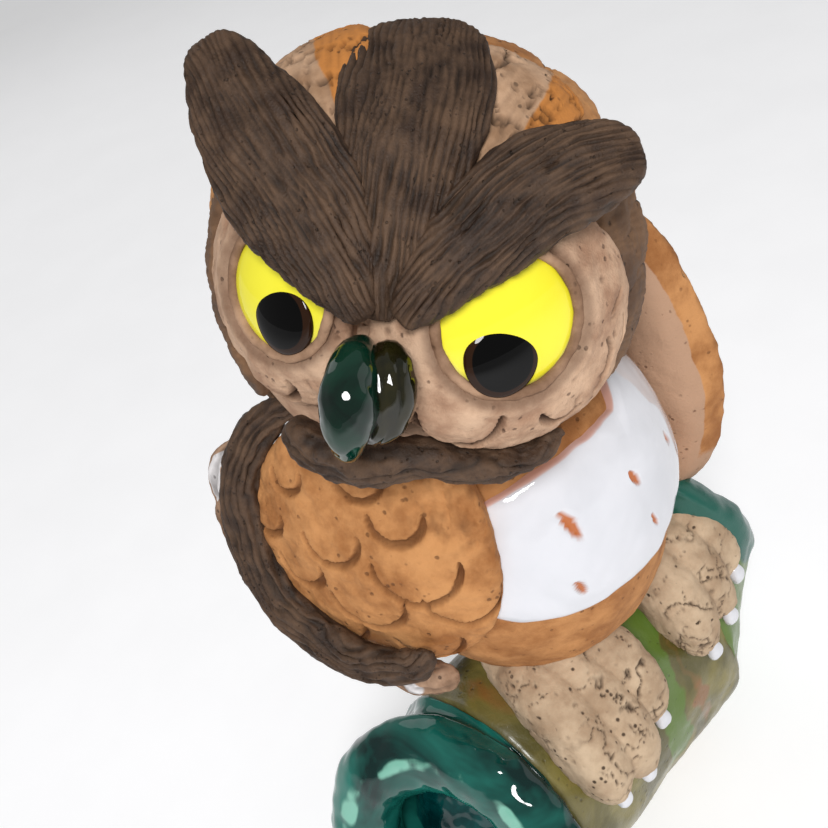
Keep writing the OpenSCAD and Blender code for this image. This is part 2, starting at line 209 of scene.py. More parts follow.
def addBump(tree, shader, height, depth, strength=1.0):
    bump = addNode(tree, "ShaderNodeBump", Strength=strength, Distance=depth * mm)
    tree.links.new(height, bump.inputs["Height"])
    tree.links.new(bump.outputs["Normal"], shader.inputs["Normal"])

def clayFinish(name, dark, light, line, painted=None, roughness=0.85, size=1.0, pitAmount=0.6, bump=0.12,
               lineStrength=0.8, specular=0.3):
    made, tree, shader = startMaterial(name, roughness, specular=specular)
    grain = useGroup(tree, clayGrain, Size=size, Pit_Amount=pitAmount)
    color = mixColor(tree, grain.outputs["Blotch"], dark, light)
    if painted:  # a second colour where the piece's paint zone is strong, with a ragged border
        ragged = calc(tree, "ADD", readAttribute(tree, "paint"), calc(tree, "MULTIPLY", calc(tree, "SUBTRACT", grain.outputs["Blotch"], 0.5), 0.35))
        color = mixColor(tree, fade(tree, ragged, 0.38, 0.62), color, painted)
    color = mixColor(tree, grain.outputs["Pits"], color, line)
    tint = useGroup(tree, pressedLinesAndShade, Line_Color=line, Line_Strength=lineStrength)
    tree.links.new(color, tint.inputs["Base"])
    tree.links.new(tint.outputs["Color"], shader.inputs["Base Color"])
    tree.links.new(fade(tree, grain.outputs["Blotch"], 0.0, 1.0, roughness - 0.06, min(1.0, roughness + 0.08)), shader.inputs["Roughness"])
    addBump(tree, shader, grain.outputs["Height"], bump)
    return made

def glazeFinish(name, dark, light, line, painted=None, roughness=0.12, size=1.0, contrast=1.0, bump=0.06, coat=1.0,
                lineStrength=0.6):
    made, tree, shader = startMaterial(name, roughness, coat=coat, coatRoughness=0.04, specular=0.0)
    pool = useGroup(tree, glazePool, Size=size, Contrast=contrast)
    color = mixColor(tree, pool.outputs["Pool"], dark, light)
    if painted:
        ragged = calc(tree, "ADD", readAttribute(tree, "paint"), calc(tree, "MULTIPLY", calc(tree, "SUBTRACT", pool.outputs["Pool"], 0.5), 0.25))
        color = mixColor(tree, fade(tree, ragged, 0.35, 0.65), color, painted)
    tint = useGroup(tree, pressedLinesAndShade, Line_Color=line, Line_Strength=lineStrength)
    tree.links.new(color, tint.inputs["Base"])
    tree.links.new(tint.outputs["Color"], shader.inputs["Base Color"])
    tree.links.new(fade(tree, pool.outputs["Speck"], 0.0, 1.0, roughness, roughness + 0.12), shader.inputs["Roughness"])
    addBump(tree, shader, pool.outputs["Height"], bump)
    return made

finishes = {
    "orangeClay": clayFinish("orangeClay", tone(146, 94, 52), tone(194, 138, 88), tone(74, 42, 22), tone(176, 140, 114), bump=0.18),
    "orangePetal": clayFinish("orangePetal", tone(150, 98, 56), tone(196, 142, 92), tone(60, 38, 22), tone(92, 66, 46), bump=0.16),
    "pinkClay": clayFinish("pinkClay", tone(154, 118, 94), tone(204, 170, 142), tone(60, 38, 26), tone(92, 66, 50), size=1.2, bump=0.22, lineStrength=1.0),
    "crownClay": clayFinish("crownClay", tone(150, 116, 88), tone(196, 160, 130), tone(34, 24, 18), tone(184, 120, 62), bump=0.16, lineStrength=1.0),
    "darkSlip": clayFinish("darkSlip", tone(56, 40, 29), tone(94, 72, 55), tone(16, 11, 7), tone(112, 94, 80), roughness=0.6, size=1.8,
                           pitAmount=0.5, bump=0.2, lineStrength=0.85, specular=0.35),
    "brownSlip": clayFinish("brownSlip", tone(84, 62, 46), tone(124, 94, 70), tone(34, 24, 18), tone(58, 42, 32), roughness=0.75, bump=0.15),
    "lidClay": clayFinish("lidClay", tone(112, 84, 64), tone(172, 138, 112), tone(48, 32, 22), bump=0.1),
    "creamClay": clayFinish("creamClay", tone(160, 134, 108), tone(198, 174, 146), tone(52, 38, 28), tone(150, 118, 88), pitAmount=0.9, bump=0.14,
                            lineStrength=1.0),
    "tanClay": clayFinish("tanClay", tone(122, 92, 70), tone(186, 152, 126), tone(50, 36, 28), tone(226, 222, 222), pitAmount=0.7, bump=0.18),
    "whiteEnamel": glazeFinish("whiteEnamel", tone(202, 203, 208), tone(219, 219, 224), tone(176, 98, 50), tone(206, 160, 146), contrast=0.5, bump=0.03,
                               lineStrength=1.0),
    "yellowEnamel": glazeFinish("yellowEnamel", tone(226, 214, 44), tone(238, 230, 62), tone(150, 130, 60), tone(240, 236, 170), roughness=0.16, contrast=0.5,
                                bump=0.02),
    "blackEnamel": glazeFinish("blackEnamel", tone(4, 4, 5), tone(9, 8, 8), tone(2, 2, 2), tone(44, 28, 18), roughness=0.08, bump=0.02, coat=0.45),
    "greenGlaze": glazeFinish("greenGlaze", tone(4, 26, 20), tone(14, 50, 38), tone(20, 22, 10), tone(70, 72, 34), roughness=0.08, size=2.0, bump=0.04),
    "oliveGlaze": glazeFinish("oliveGlaze", tone(16, 22, 11), tone(46, 42, 22), tone(14, 12, 7), tone(20, 50, 34), roughness=0.12, size=2.0, bump=0.05),
    # its near-black third colour only darkens the inside of the mouth's hole: painted shade, with the glaze pooled
    # thicker there
    # tealGlaze's pale fourth colour is the log mouth's rim band: thinner glaze on the rim plus a painted highlight
    # along its top
    "tealGlaze": glazeFinish("tealGlaze", tone(3, 40, 38), tone(36, 112, 100), tone(2, 24, 24), tone(122, 182, 162), roughness=0.1, size=0.6, contrast=1.5, bump=0.12),
    "tealDeep": glazeFinish("tealDeep", tone(2, 36, 38), tone(14, 84, 82), tone(2, 16, 18), tone(90, 160, 150), roughness=0.1, bump=0.1),
}

def makeLogFinish():  # thin olive over brown, with a grassy stripe and a burnt orange smear
    made, tree, shader = startMaterial("logWash", 0.42, coat=0.35, coatRoughness=0.15)
    pool = useGroup(tree, glazePool, Size=1.3, Contrast=1.3)
    grain = useGroup(tree, clayGrain, Size=1.0, Pit_Amount=0.5)
    color = mixColor(tree, pool.outputs["Pool"], tone(84, 78, 36), tone(122, 112, 58))
    wobble = calc(tree, "MULTIPLY", calc(tree, "SUBTRACT", pool.outputs["Pool"], 0.5), 0.3)
    for label, paint in (("green", tone(86, 110, 42)), ("rust", tone(128, 88, 46)), ("teal", tone(8, 84, 72))):
        strong = calc(tree, "ADD", readAttribute(tree, label), wobble)
        color = mixColor(tree, fade(tree, strong, 0.35, 0.65), color, paint)
    color = mixColor(tree, grain.outputs["Pits"], color, tone(50, 40, 22))
    # this line colour only shows inside the left mouth's hole: painted shade, with the glaze pooled thicker there
    tint = useGroup(tree, pressedLinesAndShade, Line_Color=tone(34, 30, 16), Line_Strength=0.8)
    tree.links.new(color, tint.inputs["Base"])
    tree.links.new(tint.outputs["Color"], shader.inputs["Base Color"])
    tree.links.new(fade(tree, grain.outputs["Blotch"], 0.0, 1.0, 0.34, 0.55), shader.inputs["Roughness"])
    addBump(tree, shader, grain.outputs["Height"], 0.1)
    return made

finishes["logWash"] = makeLogFinish()
print("finishes ready:", len(finishes))

# ---- modelling helpers, all in millimetres until a piece is finished

def turnX(degrees):
    return Matrix.Rotation(math.radians(degrees), 4, "X")

def turnY(degrees):
    return Matrix.Rotation(math.radians(degrees), 4, "Y")

def turnZ(degrees):
    return Matrix.Rotation(math.radians(degrees), 4, "Z")

def move(x, y, z):
    return Matrix.Translation((x, y, z))

def startPiece():
    bm = bmesh.new()
    for label in ("groove", "paint", "green", "rust", "teal"):
        bm.verts.layers.float.new(label)
    return bm

def lumps(p, size, seed=0.0):  # hand pressed unevenness, about -1 to 1
    return noise.fractal(Vector(p) / size + Vector((seed, seed * 0.7, -seed)), 0.8, 2.0, 3)

def hairline(p, size, width, seed):  # a wandering crack, 1 in its middle
    value = noise.noise(Vector(p) / size + Vector((seed, -seed, seed * 0.5))) + 0.25 * noise.noise(Vector(p) / (size * 0.25) + Vector((seed, 0, 0)))
    return max(0.0, 1 - abs(value) / width)

def roughen(bm, size, depth, seed, fine=0.0):
    bm.normal_update()
    shifts = [(v, v.normal * (depth * lumps(v.co, size, seed) + (fine * noise.noise(v.co / 0.55) if fine else 0))) for v in bm.verts]
    for v, shift in shifts:
        v.co += shift

def finishPiece(name, bm, finish, slot, *nodes):
    bmesh.ops.recalc_face_normals(bm, faces=bm.faces)
    bmesh.ops.scale(bm, vec=(mm, mm, mm), verts=bm.verts)
    for f in bm.faces:
        f.smooth = True
    mesh = bpy.data.meshes.new(name)
    bm.to_mesh(mesh)
    bm.free()
    piece = bpy.data.objects.new(name, mesh)
    bpy.context.scene.collection.objects.link(piece)
    mesh.materials.append(finishes[finish])
    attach(piece, "root")
    if nodes:
        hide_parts(*nodes)
    print("made", name, len(mesh.vertices))
    return piece

def smoothstep(value, low, high):
    t = min(1.0, max(0.0, (value - low) / (high - low)))
    return t * t * (3 - 2 * t)

def ellipse(wide, high, wobble=0.0, seed=0.0, power=2.0):  # an outline, as the reach in each direction
    def outline(turn):
        c, s = math.cos(turn), math.sin(turn)
        reach = (abs(c / wide) ** power + abs(s / high) ** power) ** (-1 / power)
        return reach * (1 + wobble * noise.noise(Vector((c * 1.3, s * 1.3, seed))))
    return outline

def onBall(place, radius):  # a pad that hugs a ball: place is on the pad's middle with z outwards
    def put(x, y, h):
        reach = math.hypot(x, y)
        if reach < 1e-9:
            return place @ Vector((0, 0, h))
        a = reach / radius
        return place @ Vector((x / reach * math.sin(a) * (radius + h), y / reach * math.sin(a) * (radius + h), math.cos(a) * (radius + h) - radius))
    return put

def addPad(bm, level, outline, rise, sunk, put, carve=None, rounding=0.6):
    layers = bm.verts.layers.float
    made = bmesh.ops.create_icosphere(bm, subdivisions=level, radius=1)["verts"]
    for v in made:
        turn, reach = math.atan2(v.co.y, v.co.x), min(1.0, math.hypot(v.co.x, v.co.y))
        size = outline(turn) * reach
        x, y = math.cos(turn) * size, math.sin(turn) * size
        lift = abs(v.co.z) ** rounding
        h = lift * (rise if v.co.z > 0 else -sunk)
        if carve:
            change, groove, paint = carve(x, y, reach)
            if v.co.z > 0:
                h += change * smoothstep(v.co.z, 0.0, 0.2)
                v[layers["groove"]] = groove * smoothstep(v.co.z, 0.0, 0.1)
            v[layers["paint"]] = paint
        v.co = put(x, y, h)
    return made

def blendPoints(points, t):  # a smooth run through the points, t from 0 to 1
    points = [Vector(p) if hasattr(p, "__len__") else p for p in points]
    last = len(points) - 1
    k = min(last - 1, int(t * last))
    f = t * last - k
    a, b = points[k], points[k + 1]
    before = points[k - 1] if k > 0 else a * 2 - b
    after = points[k + 2] if k + 2 <= last else b * 2 - a
    return 0.5 * (2 * a + (b - before) * f + (2 * before - 5 * a + 4 * b - after) * f * f + (3 * a - before - 3 * b + after) * f * f * f)

def comb(across, along, spacing, seed):  # depth of the drawn comb lines, 0 to 1
    warp = 1.1 * noise.noise(Vector((across * 0.35, along * 0.16, seed))) + 0.35 * noise.noise(Vector((across * 1.3, along * 0.5, seed + 5)))
    wave = math.sin((across / spacing + warp) * 2 * math.pi)
    second = math.sin((across / (spacing * 0.43) + warp * 2.1) * 2 * math.pi)
    fadeOut = 0.65 + 0.5 * noise.noise(Vector((across * 0.8, along * 0.33, seed + 9)))
    return max(0.0, min(1.0, (0.5 + 0.5 * wave) ** 2 * fadeOut + 0.25 * max(0.0, second) * fadeOut))

def addPaddle(bm, around, rings, path, widths, thicks, facing, place, depth=0.0, spacing=0.7, seed=1.0, blunt=0.5, edge=0.85, paintBy=None):

    layers = bm.verts.layers.float
    made = bmesh.ops.create_uvsphere(bm, u_segments=around, v_segments=rings, radius=1)["verts"]
    length = sum((blendPoints(path, (i + 1) / 20) - blendPoints(path, i / 20)).length for i in range(20))
    for v in made:
        up = max(-1.0, min(1.0, v.co.z))
        t = 0.5 - 0.5 * up
        cap = max(0.0, 1 - up * up) ** (0.5 * blunt)
        angle = math.atan2(v.co.y, v.co.x) if abs(up) < 0.99999 else 0.0
        middle = blendPoints(path, t)
        along = (blendPoints(path, min(1, t + 0.02)) - blendPoints(path, max(0, t - 0.02))).normalized()
        face = facing(middle, t)
        side = along.cross(face).normalized()
        face = side.cross(along)
        c, s = math.cos(angle), math.sin(angle)
        across = math.copysign(abs(c) ** edge, c) * blendPoints(widths, t) / 2 * cap
        lift = math.copysign(abs(s) ** 0.8, s) * blendPoints(thicks, t) / 2 * cap
        cut = comb(across + (0 if s > 0 else 3), t * length, spacing, seed) * cap if depth else 0.0
        v[layers["groove"]] = cut
        outward = Vector((c * 0.6, s)).normalized()
        p = middle + side * (across - outward.x * cut * depth * 0.5) + face * (lift - outward.y * cut * depth)
        v[layers["paint"]] = paintBy(across, t) if paintBy else 0.0
        v.co = place @ p
    return made

def scratch(x, y, cx, cy, radius, start, end, width):  # a curved line pressed in with a tool
    turn = (math.degrees(math.atan2(y - cy, x - cx)) - start) % 360
    span = end - start
    if turn > span:
        return 0.0
    taper = math.sin(math.pi * min(1, max(0, turn / span))) ** 0.35
    gap = abs(math.hypot(x - cx, y - cy) - radius)
    return max(0.0, 1 - (gap / (width * taper + 1e-6)) ** 2)

def outFrom(centre):
    centre = Vector(centre)
    return lambda p, t: (p - centre).normalized()

# ---- head

headSet = {"centre": (-1.5, -1.5, 96), "radius": 22.1, "turn": 50, "lift": 18, "tilt": 13}
onHead = move(*headSet["centre"]) @ turnZ(-headSet["turn"]) @ turnX(-headSet["lift"]) @ turnY(headSet["tilt"])

bm = startPiece()
bmesh.ops.create_icosphere(bm, subdivisions=6, radius=headSet["radius"])
bmesh.ops.transform(bm, matrix=onHead, verts=bm.verts)
roughen(bm, 9, 0.35, 3)
finishPiece("headShell", bm, "pinkClay", "pink_clay", "head_shell")

faceSet = {
    "right": {"middle": (-13.2, -19.0, 0.6), "turn": -41, "lift": 2, "wide": 11.0, "high": 12.8, "lean": -8, "curve": 17,
              "eye": (3.4, 1.4), "eyeSize": 5.8, "pupil": (1.2, -2.0), "ball": 18,
              "marks": [(0.4, -7.2, 3.4, 175, 372, 0.62, 1.3), (-7.4, 2.2, 1.3, 200, 340, 0.3, 0.5), (-6.4, -4.0, 1.1, 200, 340, 0.3, 0.5)]},
    "left": {"middle": (11.0, -21.8, -2.8), "turn": 26, "lift": 4, "wide": 13.4, "high": 12.8, "lean": 0, "curve": 19,
             "eye": (-1.2, 1.6), "eyeSize": 6.4, "pupil": (-0.9, -3.1), "ball": 22,
             "marks": [(-5.4, -7.4, 3.8, 165, 378, 0.62, 1.3), (4.4, -6.6, 2.3, 195, 345, 0.55, 1.1), (6.0, -3.6, 3.4, -60, 40, 0.5, 1.0),
                       (8.0, 3.6, 2.6, 285, 345, 0.3, 0.7), (7.2, -1.5, 4.2, -40, 25, 0.24, 0.4)]},
}

def faceFrame(d):
    return onHead @ move(*d["middle"]) @ turnZ(d["turn"]) @ turnX(90 + d["lift"]) @ turnZ(d["lean"])

def eyeFrame(d):
    put = onBall(faceFrame(d), d["curve"])
    x, y = d["eye"]
    middle = put(x, y, 0)
    out = (put(x, y, 1) - middle).normalized()
    up = (put(x, y + 0.5, 0) - middle).normalized()
    side = up.cross(out).normalized()
    up = out.cross(side)
    return Matrix((side, up, out)).transposed().to_4x4(), middle

for name, d in faceSet.items():
    bm = startPiece()
    ex, ey = d["eye"]
    def carve(x, y, reach, d=d, ex=ex, ey=ey):
        line, change = 0.0, 0.0
        for cx, cy, radius, start, end, width, depth in d["marks"]:
            press = scratch(x, y, cx, cy, radius, start, end, width)
            line = max(line, press)
            change = min(change, -press * depth)
        if d["marks"]:
            cx, cy, radius = d["marks"][0][:3]
            change += 0.45 * (1 - smoothstep(math.hypot(x - cx, y - cy), radius * 0.2, radius))  # the cheek's own swell
        gap = math.hypot(x - ex, y - ey) - d["eyeSize"]
        change -= 1.1 * (1 - smoothstep(gap, -0.6, 0.7))  # socket
        change += 0.35 * math.exp(-((gap - 1.0) / 1.1) ** 2)
        pits = max(0.0, noise.noise(Vector((x * 1.1, y * 1.1, 4))) - 0.45) * 1.5
        change -= pits * 0.4 + 0.16 * lumps((x, y, 0), 2.2, 6)
        rim = math.exp(-((gap - 0.4) / 0.6) ** 2)
        return change, max(line, pits, rim * 0.55), 0.0
    addPad(bm, 7, ellipse(d["wide"], d["high"], 0.06, 2), 2.3, 5.5, onBall(faceFrame(d), d["curve"]), carve, 0.55)
    roughen(bm, 5, 0.22, 5)
    finishPiece(name + "Face", bm, "pinkClay", "pink_clay", "face_" + name)

    turn, middle = eyeFrame(d)
    bm = startPiece()
    addPad(bm, 6, ellipse(d["eyeSize"], d["eyeSize"], 0.02, 1), 1.0, 0.8, onBall(Matrix.Translation(middle + turn.to_3x3() @ Vector((0, 0, 0.95))) @ turn, d["ball"]),
           lambda x, y, reach: (0.0, 0.0, smoothstep(reach, 0.7, 1.0) * 0.5 * (0.5 + 0.5 * smoothstep(-y, -3, 4))), 0.5)
    finishPiece(name + "Eye", bm, "yellowEnamel", "yellow_enamel", "eye_" + name)

    bm = startPiece()
    px, py = d["pupil"]
    spot = Matrix.Translation(middle + turn.to_3x3() @ Vector((px, py, 1.45))) @ turn
    addPad(bm, 6, ellipse(3.45, 3.5, 0.03, 7), 0.8, 0.8, onBall(spot, 16),
           lambda x, y, reach: (0.0, 0.0, smoothstep(reach, 0.74, 0.84)), 0.6)
    finishPiece(name + "Pupil", bm, "blackEnamel", "black_enamel", "pupil_" + name)

    bm = startPiece()  # the lid: a rolled thread of clay round the eye
    ring = bmesh.ops.create_circle(bm, segments=20, radius=0.5)["verts"]
    bmesh.ops.transform(bm, matrix=move(d["eyeSize"] + 0.25, 0, 0.95) @ turnX(90), verts=ring)
    bmesh.ops.spin(bm, geom=bm.edges[:] + bm.verts[:], cent=(0, 0, 0), axis=(0, 0, 1), angle=2 * math.pi, steps=120, use_merge=True)
    bmesh.ops.remove_doubles(bm, verts=bm.verts, dist=0.001)
    for v in bm.verts:
        turnAt = math.atan2(v.co.y, v.co.x)
        v.co.z += 0.35 * noise.noise(Vector((math.cos(turnAt), math.sin(turnAt), 2)) * 1.6) - 0.25
    bmesh.ops.transform(bm, matrix=Matrix.Translation(middle) @ turn, verts=bm.verts)
    roughen(bm, 1.5, 0.12, 8)
    finishPiece(name + "Lid", bm, "lidClay", "brown_slip", "eye_rim_" + name)
print("face done")

browSet = {
    "right": {"path": [(-1.8, -27.4, 0.2), (-5.6, -24.6, 7.0), (-10.4, -21.6, 13.8), (-16.8, -17.2, 23.4)], "widths": [5.2, 11.0, 12.6, 9.6],
              "thicks": [5.0, 6.0, 6.0, 5.0]},
    "left": {"path": [(1.2, -27.4, 0.2), (7.0, -24.4, 5.8), (13.4, -21.2, 10.4), (21.6, -18.6, 13.0)], "widths": [5.2, 9.0, 10.4, 8.6],
             "thicks": [5.0, 6.0, 6.0, 5.0]},
}
for name, d in browSet.items():
    bm = startPiece()
    addPaddle(bm, 190, 90, d["path"], d["widths"], d["thicks"], outFrom((0, 6, -6)), onHead, depth=0.6, spacing=0.62, seed=len(name))
    roughen(bm, 6, 0.3, 11, 0.05)
    finishPiece(name + "Brow", bm, "darkSlip", "dark_slip", "brow_" + name)

crestSet = {"path": [(-0.6, -26.4, -0.2), (0.6, -24.2, 8.2), (2.0, -17.6, 17.6), (2.2, -8.4, 24.2)], "widths": [4.4, 9.6, 14.6, 14.4],
            "thicks": [4.2, 3.8, 3.2, 2.8]}
bm = startPiece()
addPaddle(bm, 190, 90, crestSet["path"], crestSet["widths"], crestSet["thicks"], outFrom((0, 0, 0)), onHead, depth=0.55, spacing=0.66, seed=21, blunt=0.42)
roughen(bm, 6, 0.25, 13, 0.05)
finishPiece("crest", bm, "darkSlip", "dark_slip", "crest")

wedgeSet = [
    {"path": [(-4.2, -21.8, 9.6), (-5.6, -18.6, 15.0), (-7.4, -12.6, 20.4), (-8.0, -6.2, 22.9)], "widths": [2.4, 7.0, 11.5, 12.0], "orange": -1, "spread": 0.6},
    {"path": [(5.0, -21.2, 10.4), (8.0, -17.4, 14.2), (11.0, -12.2, 17.4), (12.2, -6.2, 19.2)], "widths": [2.4, 8.0, 12.6, 13.0], "orange": -1, "spread": 0.25},
]
bm = startPiece()
for i, d in enumerate(wedgeSet):
    made = addPaddle(bm, 120, 80, d["path"], d["widths"], [2.6, 3.0, 3.2, 3.0], outFrom((0, 0, 0)), onHead, blunt=0.4, depth=0.12, spacing=1.1, seed=31 + i,
                     paintBy=lambda across, t, d=d: smoothstep(-across * d["orange"] * 0.14 + t * d["spread"], 0.3, 0.6))
    groove = bm.verts.layers.float["groove"]
    for v in made:
        crack = max(hairline(v.co, 8, 0.05, 4 + i), hairline(v.co, 5, 0.035, 9 + i))
        v[groove] = max(v[groove] * 0.25, crack)
        v.co -= (v.co - onHead.translation).normalized() * crack * 0.8
roughen(bm, 5, 0.2, 15, 0.05)
finishPiece("crownPatches", bm, "crownClay", "pink_clay", "crown_patches")

def onSkull(heading, arc, radius):  # a place on the head, arc degrees back from the beak, heading from the crown
    out = Vector((math.sin(math.radians(heading)) * math.sin(math.radians(arc)), -math.cos(math.radians(arc)),
                  math.cos(math.radians(heading)) * math.sin(math.radians(arc))))
    back = Vector((math.sin(math.radians(heading)) * math.cos(math.radians(arc)), math.sin(math.radians(arc)),
                   math.cos(math.radians(heading)) * math.cos(math.radians(arc))))
    side = back.cross(out)
    return onHead @ basis(side, back, out, out * radius)

def basis(side, up, out, place):
    turned = Matrix((side, up, out)).transposed().to_4x4()
    turned.translation = place
    return turned

def petalCarve(size, seed):
    def carve(x, y, reach):
        line = comb(x, y, size * 0.22, seed) * 0.8
        rimLine = smoothstep(reach, 0.72, 0.95) * smoothstep(y, -size * 0.2, size * 0.5)
        return -0.22 * line * size / 6 - 0.1 * lumps((x, y, seed), 2, seed), max(line * 0.35, rimLine * 0.5), rimLine
    return carve

petalRows = [  # arc back from the beak, size, headings
    (82, 5.4, [-62, -41, -20, 2, 23, 43, 63]),
    (101, 5.9, [-76, -52, -29, -7, 15, 38, 61, 84]),
    (121, 6.2, [-92, -62, -33, -5, 23, 52, 82]),
    (146, 6.2, [-100, -50, 0, 50, 100]),
]
bm = startPiece()
for row, (arc, size, headings) in enumerate(petalRows):
    for k, heading in enumerate(headings):
        seed = row * 9 + k
        spot = onSkull(heading, arc, 21.9 + 0.6 * math.cos(math.radians(heading)) - row * 0.25 - (0.9 if heading > 0 else 0))
        wide = size * (0.98 + 0.12 * noise.noise(Vector((seed * 3.1, 0, 0))))
        addPad(bm, 5, ellipse(wide, size * 1.1, 0.1, seed), 2.0, 3.0, onBall(spot @ turnX(7), 23), petalCarve(size, seed), 0.45)
roughen(bm, 4, 0.25, 17)
finishPiece("crownPetals", bm, "orangePetal", "orange_clay", "crown_petals")

bm = startPiece()
napeSpots = [(95 + 170 * (k + 0.5) / count, arc) for arc, count in ((92, 7), (108, 7), (124, 6), (141, 5), (160, 3)) for k in range(count)]
for k, (heading, arc) in enumerate(napeSpots):
    addPad(bm, 5, ellipse(6.0, 6.6, 0.1, k), 1.5, 3.0, onBall(onSkull(heading, arc, 22.2 if 95 <= heading < 180 and arc < 120 else 22.6) @ turnX(5), 22), petalCarve(6, k), 0.45)
roughen(bm, 4, 0.25, 19)
finishPiece("napePetals", bm, "brownSlip", "brown_slip", "nape_petals")

for side, name in ((-1, "right"), (1, "left")):
    bm = startPiece()
    for k, (heading, arc) in enumerate([(58, 62), (72, 64), (87, 62), (102, 60), (117, 58), (66, 74), (82, 76), (98, 74), (114, 72)]):
        arc += 12 if side < 0 else 0
        addPad(bm, 5, ellipse(3.7, 4.0, 0.1, k), 1.1, 2.6, onBall(onSkull(side * heading, arc, 22.5 if side > 0 else 22.4), 23), petalCarve(4, k), 0.5)
    roughen(bm, 3, 0.2, 23)
    finishPiece(name + "CheekScales", bm, "brownSlip", "brown_slip", "cheek_scales_" + name)

beakSet = {"path": [(-2.4, -26.0, -1.8), (-2.6, -30.2, -4.4), (-2.8, -31.4, -7.4), (-3.4, -29.6, -11.4)], "widths": [3.8, 4.9, 4.8, 2.8], "thicks": [4.0, 6.2, 5.8, 3.6]}
bm = startPiece()
addPaddle(bm, 72, 64, beakSet["path"], beakSet["widths"], beakSet["thicks"], outFrom((-2, 0, -4)), onHead, edge=1.0,
          paintBy=lambda across, t: smoothstep(t + across * 0.06, 0.55, 1.1) * 0.7)
roughen(bm, 3, 0.18, 27)
finishPiece("beak", bm, "greenGlaze", "green_glaze", "beak")
bm = startPiece()
addPaddle(bm, 64, 56, [(-0.4, -26.0, -2.2), (0.1, -28.2, -4.4), (-0.1, -28.8, -7.2), (-1.8, -28.0, -10.4)], [4.2, 5.2, 5.2, 3.2], [3.6, 5.4, 5.4, 3.2],
          outFrom((0, 0, -4)), onHead, edge=1.0, depth=0.3, spacing=2.4, seed=4)
roughen(bm, 2.5, 0.2, 29)
finishPiece("beakLobe", bm, "oliveGlaze", "olive_glaze", "beak_lobe")

ruffSet = {"path": [(-11.8, -18.2, -12.6), (-8.6, -19.6, -14.6), (-4.0, -20.8, -15.4), (1.0, -20.6, -15.0), (6.4, -19.2, -16.2), (11.0, -17.2, -16.2), (14.8, -15.4, -14.0)]}
bm = startPiece()
addPaddle(bm, 96, 200, ruffSet["path"], [4.0, 5.0, 5.0, 4.0, 3.2, 2.6, 1.6], [4.6, 4.8, 4.8, 4.2, 3.8, 3.2, 2.4], outFrom((0, 0, 0)), onHead, depth=0.4, spacing=1.3, seed=33, blunt=0.4)
roughen(bm, 3.5, 0.5, 31, 0.06)
finishPiece("chinRuff", bm, "darkSlip", "dark_slip", "chin_ruff")
print("head done")

# ---- body

bodySet = {"arc": 30, "offset": 9.5, "middle": 61, "front": 0.5, "bottom": 40, "top": 84}

def bodyReach(z):
    d = bodySet
    return math.sqrt(max(1.0, d["arc"] ** 2 - (z - d["middle"]) ** 2)) - d["offset"]

bm = startPiece()
bmesh.ops.create_uvsphere(bm, u_segments=160, v_segments=110, radius=1)
for v in bm.verts:
    z = bodySet["bottom"] + (bodySet["top"] - bodySet["bottom"]) * (v.co.z * 0.5 + 0.5)
    flat = math.hypot(v.co.x, v.co.y)
    reach = bodyReach(z) * min(1.0, flat * 1.9) if flat > 1e-6 else 0
    v.co = Vector((v.co.x / flat * reach, bodySet["front"] + v.co.y / flat * reach, z)) if flat > 1e-6 else Vector((0, bodySet["front"], z))
roughen(bm, 8, 0.4, 35, 0.06)
finishPiece("body", bm, "orangeClay", "orange_clay", "body_shell")

def onBody(turn, z):  # turn degrees from the front towards the owl's left
    a = math.radians(turn)
    out = Vector((math.sin(a), -math.cos(a), 0))
    slope = (bodyReach(z + 0.5) - bodyReach(z - 0.5))
    up = (Vector((0, 0, 1)) + out * slope).normalized()
    side = Vector((math.cos(a), math.sin(a), 0))
    normal = side.cross(up)
    return basis(side, up, normal, Vector((0, bodySet["front"], z)) + out * bodyReach(z))

bibSet = {"wide": 23.4, "turn": 2, "z": 68.0, "marks": [(-9.2, 1.0, 0.75, 2.2), (0.4, 0.6, 0.55, 1.2), (-10.4, -7.2, 0.5, 1.3), (1.0, -6.0, 0.3, 1.2), (9.6, -1.4, 0.5, 1.0), (12.0, -5.0, 0.3, 0.9)]}
def bibPlace(x, y, h):
    z = bibSet["z"] + y
    a = math.radians(bibSet["turn"]) + x / 20.5
    reach = bodyReach(z) + h
    return Vector((math.sin(a) * reach, bodySet["front"] - math.cos(a) * reach, z))

def bibOutline(turn):
    c, s = math.cos(turn), math.sin(turn)
    high = 11.8 - 2.0 * smoothstep(c, 0, 0.6) if s < 0 else 7.2 + 5.8 * smoothstep(c, 0.5, 0.85)
    power = 3.0 if s < 0 else 2.7
    reach = (abs(c / bibSet["wide"]) ** power + abs(s / high) ** power) ** (-1 / power)
    return reach * (1 + 0.03 * noise.noise(Vector((c * 3, s * 3, 1))))

def bibCarve(x, y, reach):
    mark = 0.0
    for mx, my, wide, high in bibSet["marks"]:
        lean = (y - my) * 0.25
        mark = max(mark, 1 - smoothstep(math.hypot((x - mx + lean) / wide, (y - my) / high), 0.75, 1.05))
    return -0.35 * mark + 0.12 * lumps((x, y, 3), 7, 2), mark, smoothstep(reach, 0.93, 1.0) * 0.6

bm = startPiece()
addPad(bm, 7, bibOutline, 1.5, 2.0, bibPlace, bibCarve, 0.4)
roughen(bm, 9, 0.2, 37)
finishPiece("bib", bm, "whiteEnamel", "white_enamel", "breast_bib")

bm = startPiece()
for row, z in enumerate((78, 70.5, 63, 55.5, 48)):
    count = 7
    for k in range(count):
        turn = 180 + (k - (count - 1) / 2 + (0.5 if row % 2 else 0)) * 19
        if abs(turn - 180) > 62:
            continue
        addPad(bm, 5, ellipse(5.0, 6.0, 0.08, row + k), 1.3, 2.4, onBall(onBody(turn, z) @ turnX(-6), 20), petalCarve(5, row * 3 + k), 0.5)
roughen(bm, 4, 0.25, 39)
finishPiece("backFeathers", bm, "brownSlip", "brown_slip", "back_feathers")

